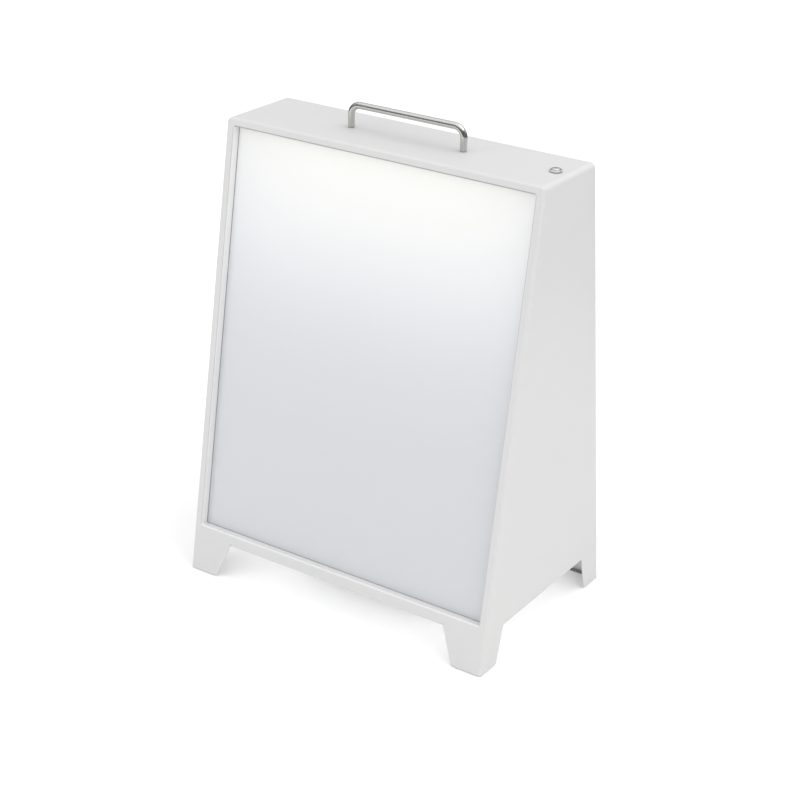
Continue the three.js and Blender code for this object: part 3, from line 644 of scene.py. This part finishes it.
def build_switch_button(material):
    """A slightly domed button on a stem."""
    cap, stem, edge = 4.8, 2.0, 0.7
    cap_low, chamfer = SWITCH_HIGH - 3.2, 0.2
    stem_low = SWITCH_FLOOR - 2
    profile = [(0, stem_low), (stem, stem_low), (stem, cap_low), (cap - chamfer, cap_low)]
    profile.append((cap, cap_low + chamfer))
    profile += arc_points(cap - edge, SWITCH_HIGH + 0.55, edge, 0, 70, 6)
    dome = ((3.6, 1.36), (2.6, 1.45), (1.2, 1.49), (0, 1.5))
    profile += [(radius, SWITCH_HIGH + rise) for radius, rise in dome]
    button = turned_mesh("switch_button_look", profile, material, SWITCH_X, SWITCH_STEPS)
    clean(button.data)
    button.data.set_sharp_from_angle(angle=math.radians(SHARP))
    place(button, "switch_button", "switch_steel", "switch_button")


def build_switch_gasket(material):
    inner, outer, edge = 6.2, 6.7, 0.3
    low, high = TOP_HEIGHT, TOP_HEIGHT + 2 * edge
    profile = [(inner, low), (outer, low), *arc_points(outer - edge, low + edge, edge, -90, 90, 6)]
    profile += [(inner, high), (inner, low)]
    gasket = turned_mesh("switch_gasket_look", profile, material, SWITCH_X, SWITCH_STEPS)
    clean(gasket.data)
    place(gasket, "switch_gasket", "black_rubber")


def add_boxes(obj, boxes):
    """Adds plain blocks, given by their corners in millimetres, to an object's mesh."""
    bm = bmesh.new()
    bm.from_mesh(obj.data)
    for low, high in boxes:
        low, high = Vector(low) * MM, Vector(high) * MM
        size = high - low
        matrix = Matrix.Translation((low + high) / 2) @ Matrix.Diagonal((*size, 1))
        made = bmesh.ops.create_cube(bm, size=1, matrix=matrix)
        edges = list({e for v in made["verts"] for e in v.link_edges})
        bmesh.ops.bevel(bm, geom=edges, offset=min(size) * 0.12, segments=2, profile=0.5, affect="EDGES")
    bm.to_mesh(obj.data)
    bm.free()


# ---- Screws ----
def screw_profile(diameter, length, head, height):
    """From the middle of the domed head to the tip of the threaded shank, with the head's face at 0."""
    dome = ((0, 0), (0.3, 0.01), (0.6, 0.08), (0.82, 0.24), (0.95, 0.46), (1, 0.68), (1, 0.96))
    profile = [(head / 2 * out, height * up) for out, up in dome]
    profile.append((head / 2 - 0.1, height))
    core, root, pitch = diameter / 2, diameter / 2 * 0.84, 0.18 * diameter
    z = height
    while z + pitch < height + length - core:
        profile += [(core, z), (root, z + pitch / 2)]
        z += pitch
    return profile + [(root, z), (0.1, height + length), (0, height + length)]


def cross_cutter(head, height, material):
    """A tapered cross that reaches up into a head."""
    arm, reach = 0.085 * head, 0.30 * head
    outline = [(arm, reach), (arm, arm), (reach, arm)]
    for _ in range(3):
        outline += [(y, -x) for x, y in outline[-3:]]
    mouth, tip = (1.05, -0.5), (0.45, 0.62 * height)
    points = [(x * share, y * share, z) for share, z in (mouth, tip) for x, y in outline]
    count = len(outline)
    faces = [list(range(count)), list(range(2 * count - 1, count - 1, -1))]
    faces += [[i, (i + 1) % count, count + (i + 1) % count, count + i] for i in range(count)]
    cutter = make_object("cutter", points, faces, material)
    clean(cutter.data)
    return cutter


def screw_mesh(diameter, length, head, height, material):
    """A domed cross-head screw that stands on its head at the origin."""
    profile = screw_profile(diameter, length, head, height)
    screw = turned_mesh("screw", profile, material)
    clean(screw.data)
    cutter = cross_cutter(head, height, material)
    cut = screw.modifiers.new("cross", "BOOLEAN")
    cut.operation, cut.solver, cut.object = "DIFFERENCE", "EXACT", cutter
    depsgraph = bpy.context.evaluated_depsgraph_get()
    mesh = bpy.data.meshes.new_from_object(screw.evaluated_get(depsgraph))
    bpy.data.objects.remove(screw)
    bpy.data.objects.remove(cutter)
    mesh.polygons.foreach_set("use_smooth", [True] * len(mesh.polygons))
    mesh.set_sharp_from_angle(angle=math.radians(30))
    return mesh


def build_screws(material):
    """One mesh for each kind, by the shank's diameter and length and the head's diameter and height."""
    kinds = [
        ((5, 11, 9, 3), ["handle_screw_left", "handle_screw_right"]),
        ((3, 5, 5.5, 1.8), ["light_screw_left", "light_screw_right"]),
        ((4, 8, 8, 2.3), ["plate_screw_" + corner for corner in CORNERS]),
        ((2.7, 10, 5.5, 1.8), ["lid_screw_" + corner for corner in CORNERS]),
        ((3, 8, 5.5, 1.8), ["box_screw_front", "box_screw_rear"]),
    ]
    turn, turn_step = 0, 37  # no two crosses stand alike
    for size, nodes in kinds:
        mesh = screw_mesh(*size, material)
        for node in nodes:
            low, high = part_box(node)
            obj = bpy.data.objects.new(node + "_look", mesh)
            bpy.context.scene.collection.objects.link(obj)
            turn += turn_step
            spot = Matrix.Translation(((low.x + high.x) / 2, (low.y + high.y) / 2, low.z))
            obj.matrix_world = spot @ Matrix.Rotation(math.radians(turn), 4, "Z")
            place(obj, node, "zinc_steel")


# ---- Materials ----
class Look:
    """A Principled material whose nodes read the piece's own coordinates, in metres."""

    def __init__(self, name, color, roughness, metallic=0.0, specular=0.5):
        self.material = bpy.data.materials.new(name)
        self.material.use_nodes = True
        self.tree = self.material.node_tree
        self.shader = self.tree.nodes["Principled BSDF"]
        values = {"Base Color": (*color, 1), "Roughness": roughness, "Metallic": metallic}
        values["Specular IOR Level"] = specular
        for socket, value in values.items():
            self.shader.inputs[socket].default_value = value
        self.place = self.tree.nodes.new("ShaderNodeTexCoord").outputs["Object"]

    def node(self, kind, settings=None, **inputs):
        """A node with its inputs set or linked, each by its name or, as i0, i1 and so on, by its number."""
        made = self.tree.nodes.new(kind)
        for key, value in (settings or {}).items():
            setattr(made, key, value)
        for key, value in inputs.items():
            socket = made.inputs[int(key[1:])] if key[1:].isdigit() else made.inputs[key.replace("_", " ")]
            if isinstance(value, bpy.types.NodeSocket):
                self.tree.links.new(value, socket)
            else:
                socket.default_value = value
        return made

    def math(self, operation, a, b=0.0, clamp=False):
        settings = {"operation": operation, "use_clamp": clamp}
        return self.node("ShaderNodeMath", settings, i0=a, i1=b).outputs[0]

    def times(self, a, b):
        return self.math("MULTIPLY", a, b)

    def stretched(self, scale, source=None):
        return self.node("ShaderNodeMapping", None, Vector=source or self.place, Scale=scale).outputs[0]

    def noise(self, scale, detail=2.0, source=None, roughness=0.5):
        made = self.node("ShaderNodeTexNoise", None, Vector=source or self.place, Scale=scale, Detail=detail)
        made.inputs["Roughness"].default_value = roughness
        return made.outputs["Fac"]

    def spread(self, fac, low, high, from_low=0.3, from_high=0.7):
        """fac, taken from one range to another."""
        made = self.node("ShaderNodeMapRange", None, i0=fac, i1=from_low, i2=from_high, i3=low, i4=high)
        return made.outputs[0]

    def band(self, value, middle, half):
        """1 where the value is at the middle, down to 0 a half-width away."""
        off = self.math("DIVIDE", self.math("ABSOLUTE", self.math("SUBTRACT", value, middle)), half)
        return self.math("SUBTRACT", 1.0, off, True)

    def mix(self, fac, a, b):
        """From colour a to colour b by fac."""
        made = self.node("ShaderNodeMix", {"data_type": "RGBA"})
        for index, value in ((0, fac), (6, a), (7, b)):
            if isinstance(value, bpy.types.NodeSocket):
                self.tree.links.new(value, made.inputs[index])
            else:
                made.inputs[index].default_value = value if index == 0 else (*value, 1)
        return made.outputs[2]

    def set(self, socket, value):
        self.tree.links.new(value, self.shader.inputs[socket])

    def bump(self, height, distance, strength=1.0, under=None):
        """Height in a share of distance, which is in metres."""
        made = self.node("ShaderNodeBump", None, Height=height, Distance=distance, Strength=strength)
        if under is not None:
            self.tree.links.new(under, made.inputs["Normal"])
        return made.outputs[0]


def powder_coat():
    """White coat with a fine peel, made paler on the recess's walls and the sill under the opening by
    painted light, and darker along its side and top bends by painted shade.
    """
    look = Look("white_powder_coat", (0.60, 0.60, 0.597), 0.45)
    tone = look.spread(look.noise(7.0, 3.0), 0.0, 1.0)
    coat = look.mix(tone, (0.596, 0.597, 0.597), (0.609, 0.609, 0.606))
    split = look.node("ShaderNodeSeparateXYZ", None, Vector=look.place)
    x, z = look.math("ABSOLUTE", split.outputs[0]), split.outputs[2]
    low, high, half = OPENING_BOTTOM * COS * MM, OPENING_TOP * COS * MM, OPENING_HALF * MM
    beside = look.times(look.math("GREATER_THAN", z, low), look.math("LESS_THAN", z, high))
    within = look.math("LESS_THAN", x, half)
    # painted light: the recess's walls and the sill under the opening are made paler, mixed in as pale
    walls = look.times(look.band(x, half, 0.8 * MM), beside)
    painted_sill_light = look.times(look.band(z, low - 0.8 * MM, 1.8 * MM), look.times(within, 0.7))
    pale = look.mix(look.math("ADD", walls, painted_sill_light, True), coat, (0.80, 0.80, 0.80))
    # painted shade: dark lines along the lip's bends at the opening's sides and top
    painted_side_shade = look.times(look.band(x, half + 1.2 * MM, 0.6 * MM), look.times(beside, 0.40))
    painted_top_shade = look.times(look.band(z, high + 0.7 * MM, 1.2 * MM), look.times(within, 0.9))
    look.set("Base Color", look.mix(look.math("ADD", painted_side_shade, painted_top_shade, True), pale, (0.20, 0.20, 0.20)))
    peel, grain = look.noise(620.0, 1.5), look.noise(2600.0, 1.0)
    look.set("Roughness", look.spread(look.noise(900.0, 2.0), 0.40, 0.50))
    look.set("Normal", look.bump(grain, 0.00001, 0.6, under=look.bump(peel, 0.00003, 0.8)))
    return look.material


def satin_bar():
    """Stainless bar, ground along its length, with a painted contact shade where it meets the top plate."""
    look = Look("satin_stainless", (0.62, 0.61, 0.59), 0.24, metallic=1.0)
    along = look.node("ShaderNodeUVMap", {"uv_map": "along"}).outputs[0]
    lines = look.noise(1.0, 2.0, look.stretched((24.0, 9.0, 1.0), along), 0.6)
    fine = look.noise(1.0, 2.0, look.stretched((150.0, 40.0, 1.0), along), 0.6)
    steel = look.mix(look.spread(lines, 0.0, 1.0), (0.52, 0.515, 0.50), (0.62, 0.615, 0.60))
    height = look.node("ShaderNodeSeparateXYZ", None, Vector=look.place).outputs[2]
    # painted shade: the bar's colour darkens just above the top plate, where the contact shadow falls
    painted_contact_shade = look.spread(height, 0.85, 0.0, (TOP_HEIGHT + 0.3) * MM, (TOP_HEIGHT + 1.0) * MM)
    look.set("Base Color", look.mix(painted_contact_shade, steel, (0.10, 0.10, 0.10)))
    look.set("Roughness", look.spread(fine, 0.13, 0.21))
    look.set("Normal", look.bump(fine, 0.00001, 0.4))
    return look.material


def turned_steel():
    """Stainless turned on a lathe: fine rings round the switch's own axis."""
    look = Look("turned_stainless", (0.78, 0.78, 0.77), 0.22, metallic=1.0)
    subtract, axis = {"operation": "SUBTRACT"}, (SWITCH_X * MM, 0, 0)
    centred = look.node("ShaderNodeVectorMath", subtract, i0=look.place, i1=axis).outputs[0]
    split = look.node("ShaderNodeSeparateXYZ", None, Vector=centred)
    flat = look.node("ShaderNodeCombineXYZ", None, X=split.outputs[0], Y=split.outputs[1])
    radius = look.node("ShaderNodeVectorMath", {"operation": "LENGTH"}, i0=flat.outputs[0]).outputs["Value"]
    outward = look.node("ShaderNodeCombineXYZ", None, X=radius).outputs[0]
    rings = look.noise(1.0, 1.0, look.stretched((9000.0, 1.0, 1.0), outward))
    look.set("Roughness", look.spread(rings, 0.16, 0.30))
    look.set("Base Color", look.mix(look.spread(rings, 0.0, 1.0), (0.74, 0.74, 0.73), (0.84, 0.84, 0.83)))
    look.set("Normal", look.bump(rings, 0.00001, 0.6))
    return look.material


def zinc_plate():
    look = Look("zinc_plated_steel", (0.64, 0.66, 0.68), 0.34, metallic=1.0)
    cloud = look.spread(look.noise(260.0, 3.0), 0.0, 1.0)
    look.set("Base Color", look.mix(cloud, (0.60, 0.62, 0.66), (0.70, 0.70, 0.66)))
    look.set("Roughness", look.spread(look.noise(1500.0, 2.0), 0.26, 0.42))
    look.set("Normal", look.bump(look.noise(4200.0, 2.0), 0.00001, 0.5))
    return look.material


def drawn_aluminium():
    look = Look("anodised_aluminium", (0.76, 0.77, 0.78), 0.36, metallic=1.0)
    lines = look.noise(1.0, 3.0, look.stretched((12.0, 5200.0, 5200.0)), 0.6)
    look.set("Base Color", look.mix(look.spread(lines, 0.0, 1.0), (0.70, 0.71, 0.72), (0.80, 0.81, 0.82)))
    look.set("Roughness", look.spread(lines, 0.28, 0.44))
    look.set("Normal", look.bump(lines, 0.00001, 0.6))
    return look.material


def moulded(name, color, roughness, grain=2200.0, depth=0.00003):
    """Plastic with a fine spark-eroded grain."""
    look = Look(name, color, roughness)
    pits = look.noise(grain, 2.0, roughness=0.6)
    dark = tuple(c * 0.93 for c in color)
    light = tuple(min(1, c * 1.06 + 0.002) for c in color)
    look.set("Base Color", look.mix(look.spread(look.noise(90.0, 3.0), 0.0, 1.0), dark, light))
    look.set("Roughness", look.spread(pits, roughness - 0.08, roughness + 0.08))
    look.set("Normal", look.bump(pits, depth, 0.7))
    return look.material


def rubber(name, grey):
    look = Look(name, (grey, grey, grey), 0.75, specular=0.35)
    dust = look.spread(look.noise(140.0, 4.0), 0.0, 1.0, 0.45, 0.8)
    dusty = grey + 0.02
    look.set("Base Color", look.mix(dust, (grey, grey, grey), (dusty, dusty, dusty)))
    look.set("Roughness", look.spread(look.noise(1800.0, 2.0), 0.66, 0.86))
    look.set("Normal", look.bump(look.noise(3000.0, 2.0), 0.00004, 0.6))
    return look.material


# How the light bar shows in the panels. Lengths are in metres.
GLOW = {
    "reach": 0.17,  # how far down the light falls off
    "power": 2.0,
    "side_power": 4.0,
    "side_drop": 0.35,  # what is lost at the panel's sides
    "low": (0.95, 0.97, 1.0),
    "high": (1.0, 0.95, 0.78),
    "strength": 0.345,
    "sheet": (0.563, 0.577, 0.602),
    "rim": 0.0014,  # width of the painted shade round the rim, at the sides
    "low_rim": 1.4,  # how many times narrower it is at the bottom
    "top_rim": 0.34,  # and at the top, where it is wider
    # colour of the painted shade at the rim
    "painted_rim_shade_color": (0.31, 0.32, 0.335),
}


def lit_acrylic(name, glow):
    """Milky acrylic lit by the bar behind its top: bright there, and cooler and dimmer below, with a painted
    shade round the rim of the opening.
    """
    look = Look(name, glow["sheet"], 0.22)
    split = look.node("ShaderNodeSeparateXYZ", None, Vector=look.place)
    x, z = look.math("ABSOLUTE", split.outputs[0]), split.outputs[2]
    below = look.math("MAXIMUM", look.math("SUBTRACT", TOP_HEIGHT * MM, z), 0.0)
    share = look.math("DIVIDE", below, glow["reach"])
    fall = look.math("EXPONENT", look.times(look.math("POWER", share, glow["power"]), -1.0))
    across = look.math("POWER", look.math("DIVIDE", x, HALF_WIDTH * MM), glow["side_power"])
    sides = look.math("SUBTRACT", 1.0, look.times(across, glow["side_drop"]))
    cloud = look.spread(look.noise(5.0, 2.0), 0.985, 1.015)
    amount = look.times(look.times(fall, sides), cloud)
    low, high = (OPENING_BOTTOM * COS - RECESS * SIN) * MM, OPENING_TOP * COS * MM
    from_side = look.math("SUBTRACT", OPENING_HALF * MM, x)
    from_low = look.times(look.math("SUBTRACT", z, low), glow["low_rim"])
    from_high = look.times(look.math("SUBTRACT", high, z), glow["top_rim"])
    from_rim = look.math("MINIMUM", from_side, look.math("MINIMUM", from_low, from_high))
    # painted shade: colour and glow darken within the rim's width of the opening's edges
    clear_of_painted_shade = look.spread(from_rim, 0.0, 1.0, 0.0, glow["rim"])
    look.set("Base Color", look.mix(clear_of_painted_shade, glow["painted_rim_shade_color"], glow["sheet"]))
    look.set("Emission Color", look.mix(amount, glow["low"], glow["high"]))
    look.set("Emission Strength", look.times(look.times(amount, glow["strength"]), clear_of_painted_shade))
    look.set("Roughness", look.spread(look.noise(300.0, 2.0), 0.17, 0.25))
    look.set("Normal", look.bump(look.noise(40.0, 1.0), 0.00002, 0.5))
    return look.material


def opal_lens():
    """An opal lens, brighter over each diode of the board behind it."""
    look = Look("opal_lens", (0.9, 0.9, 0.88), 0.3)
    diode_pitch = 0.29 / 14
    spot = look.node("ShaderNodeSeparateXYZ", None, Vector=look.place).outputs[0]
    wave = look.math("COSINE", look.times(spot, 2 * math.pi / diode_pitch))
    look.shader.inputs["Emission Color"].default_value = (1.0, 0.98, 0.92, 1)
    look.set("Emission Strength", look.spread(wave, 1.6, 2.4, -1.0, 1.0))
    return look.material


def circuit_board(name, mask, copper):
    """Solder mask over tracks: a fine pattern of straight runs that shows through it."""
    look = Look(name, mask, 0.32)
    other = [c * 0.9 for c in mask]
    tracks = look.node(
        "ShaderNodeTexBrick", {"offset": 0.37, "squash": 1.0}, Vector=look.place, Scale=240.0,
        Mortar_Size=0.09, Mortar_Smooth=0.3, Color1=(*mask, 1), Color2=(*other, 1), Mortar=(*copper, 1),
    )
    look.set("Base Color", tracks.outputs["Color"])
    look.set("Normal", look.bump(tracks.outputs["Fac"], 0.00003, 0.6))
    return look.material


def shrink_wrap():
    look = Look("battery_sleeve", (0.05, 0.16, 0.36), 0.25)
    folds = look.noise(1.0, 3.0, look.stretched((300.0, 40.0, 300.0)))
    look.set("Base Color", look.mix(look.spread(folds, 0.0, 1.0), (0.04, 0.14, 0.33), (0.07, 0.20, 0.42)))
    look.set("Roughness", look.spread(folds, 0.18, 0.34))
    look.set("Normal", look.bump(folds, 0.0001, 0.6))
    return look.material


def pale_floor():
    look = Look("pale_floor", (0.95, 0.95, 0.95), 0.7, specular=0.1)
    cloud = look.spread(look.noise(3.0, 2.0), 0.0, 1.0)
    look.set("Base Color", look.mix(cloud, (0.94, 0.94, 0.94), (0.955, 0.955, 0.955)))
    return look.material


# ---- The light ----
def soft_box(name, at, aim, width, height, power):
    """An area light at one point, turned to another."""
    data = bpy.data.lights.new(name, "AREA")
    data.shape, data.size, data.size_y, data.energy = "RECTANGLE", width, height, power
    obj = bpy.data.objects.new(name, data)
    bpy.context.scene.collection.objects.link(obj)
    obj.location = at
    obj.rotation_mode = "QUATERNION"
    obj.rotation_quaternion = (Vector(aim) - Vector(at)).to_track_quat("-Z", "Y")
    return obj


def flag(name, material, first, last, low, high):
    """A dark card bent round the sign from one bearing to another, which only reflections see."""
    radius, steps = 1.1, 12
    points = []
    for i in range(steps + 1):
        bearing = math.radians(first + (last - first) * i / steps)
        points += [(radius * math.sin(bearing), -radius * math.cos(bearing), z) for z in (low, high)]
    faces = [[2 * i, 2 * i + 2, 2 * i + 3, 2 * i + 1] for i in range(steps)]
    card = make_object(name, points, faces, material, scale=1)
    card.visible_camera = card.visible_diffuse = card.visible_transmission = card.visible_shadow = False
    return card


def build_sky():
    """A sky that is brighter overhead, and a little more so to the front right."""
    brightest, reach, low, high = Vector((0.25, -0.10, 0.95)).normalized(), 0.85, 0.42, 1.40
    world = bpy.data.worlds.new("studio")
    world.use_nodes = True
    tree = world.node_tree
    background = tree.nodes["Background"]
    background.inputs["Color"].default_value = (1, 1, 1, 1)
    towards = tree.nodes.new("ShaderNodeVectorMath")
    towards.operation = "DOT_PRODUCT"
    towards.inputs[1].default_value = brightest
    tree.links.new(tree.nodes.new("ShaderNodeTexCoord").outputs["Generated"], towards.inputs[0])
    rise = tree.nodes.new("ShaderNodeMapRange")
    rise.interpolation_type = "SMOOTHSTEP"
    for index, value in ((1, 0.0), (2, reach), (3, low), (4, high)):
        rise.inputs[index].default_value = value
    tree.links.new(towards.outputs["Value"], rise.inputs[0])
    tree.links.new(rise.outputs[0], background.inputs["Strength"])
    bpy.context.scene.world = world


def build_stage():
    """The floor, three soft boxes, a light in the sign's own shadow and two cards."""
    scene = bpy.context.scene
    scene.view_settings.view_transform = "Standard"
    scene.view_settings.look = "None"
    build_sky()
    reach = 40
    ends = [(-reach, -reach, 0), (reach, -reach, 0), (reach, reach, 0), (-reach, reach, 0)]
    floor = make_object("floor", ends, [[0, 1, 2, 3]], pale_floor(), scale=1)
    lights = [
        soft_box("front_left", (-1.6, -2.4, 1.5), (0, 0, 0.3), 1.4, 1.4, 12),
        soft_box("right", (1.9, -0.6, 1.2), (0.1, 0, 0.3), 1.2, 1.2, 2.5),
        soft_box("overhead", (0.6, 0.2, 1.7), (0, 0, 0.55), 0.9, 0.9, 2.8),
        soft_box("under", (0, 0, 0.043), (0, 0, 0), 0.40, 0.25, 0.18),
    ]
    dark = Look("dark_card", (0.16, 0.16, 0.16), 0.9, specular=0.0).material
    flags = [
        flag("flag_front", dark, -60, 120, 0.40, 1.35),
        flag("flag_back", dark, 120, 300, 0.0, 0.75),
    ]


def build_camera():
    azimuth, elevation, roll = math.radians(33.21), math.radians(24.82), math.radians(1.56)
    spot, lens, sensor = (1.0849, -1.6556, 1.1508), 82.63, 36
    across = math.cos(elevation)
    back = Vector((math.sin(azimuth) * across, -math.cos(azimuth) * across, math.sin(elevation)))
    level = (-back).cross(AXIS_Z).normalized()
    rise = level.cross(-back).normalized()
    right = math.cos(roll) * level + math.sin(roll) * rise
    up = math.cos(roll) * rise - math.sin(roll) * level
    data = bpy.data.cameras.new("camera")
    data.lens, data.sensor_width, data.clip_start, data.clip_end = lens, sensor, 0.05, 100
    camera = bpy.data.objects.new("camera", data)
    bpy.context.scene.collection.objects.link(camera)
    turn = Matrix((right, up, back)).transposed().to_4x4()
    camera.matrix_world = Matrix.Translation(spot) @ turn
    bpy.context.scene.camera = camera


# ---- The scene ----
for leftover in list(bpy.data.objects):
    bpy.data.objects.remove(leftover)
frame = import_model()
NODES = frame["nodes"]

white = powder_coat()
zinc = zinc_plate()
steel = turned_steel()
black = rubber("black_rubber", 0.027)
pale_rubber = rubber("grey_rubber", 0.19)
grey = moulded("grey_plastic", (0.12, 0.125, 0.13), 0.5)
panel = lit_acrylic("lit_milky_acrylic", GLOW)

build_body(white)
build_handle(satin_bar())
build_switch_body(steel)
build_switch_button(steel)
build_switch_gasket(black)
build_screws(zinc)

for face in ("front", "rear"):
    refine(f"panel_{face}", "milky_acrylic", panel, 0.35)
for corner in CORNERS:
    refine(f"foot_pad_{corner}", "grey_rubber", pale_rubber, 0.4, 3)
    refine(f"panel_guide_{corner}", "steel_white", white, 0.25)
for side in SIDES:
    refine(f"plate_bracket_{side}", "steel_white", white, 0.25)
    refine(f"light_bracket_{side}", "zinc_steel", zinc, 0.2)
    refine(f"light_end_cap_{side}", "grey_plastic", grey, 0.3)
    refine(f"handle_washer_{side}", "zinc_steel", zinc, 0.12)
refine("bottom_plate", "steel_white", white, 0.3)
refine("battery_box", "grey_plastic", grey, 0.4)
refine("battery_lid", "grey_plastic", grey, 0.4)
refine("battery_pack", "battery_wrap", shrink_wrap(), 0.6, 3)
green_board = circuit_board("green_board", (0.03, 0.16, 0.07), (0.07, 0.26, 0.12))
refine("control_board", "control_board", green_board, 0.15)
white_board = circuit_board("white_board", (0.82, 0.82, 0.8), (0.7, 0.7, 0.68))
refine("light_board", "light_board", white_board, 0.1)
refine("light_channel", "aluminium", drawn_aluminium(), 0.2)
refine("light_lens", "opal_lens", opal_lens(), 0.2)
refine("switch_nut", "zinc_steel", zinc, 0.25)
refine("charge_inlet", "black_plastic", moulded("black_plastic", (0.02, 0.02, 0.02), 0.4), 0.2)
refine("charge_inlet_nut", "zinc_steel", zinc, 0.2)
refine("charge_flap", "black_rubber", black, 0.3, 3, "charge_flap")
refine("charge_flap_pin", "zinc_steel", zinc, 0.15)
jacket = moulded("lead_jacket", (0.02, 0.02, 0.021), 0.5, 3000.0, 0.00001)
for lead in ("light_lead", "switch_lead", "battery_lead", "charge_lead"):
    refine(lead, "lead_jacket", jacket, 0.0, sharp=60)
nylon = moulded("white_nylon", (0.78, 0.78, 0.76), 0.45)
for clip in ("lead_clip_upper", "lead_clip_lower"):
    refine(clip, "white_plastic", nylon, 0.4, 3)

build_stage()
build_camera()
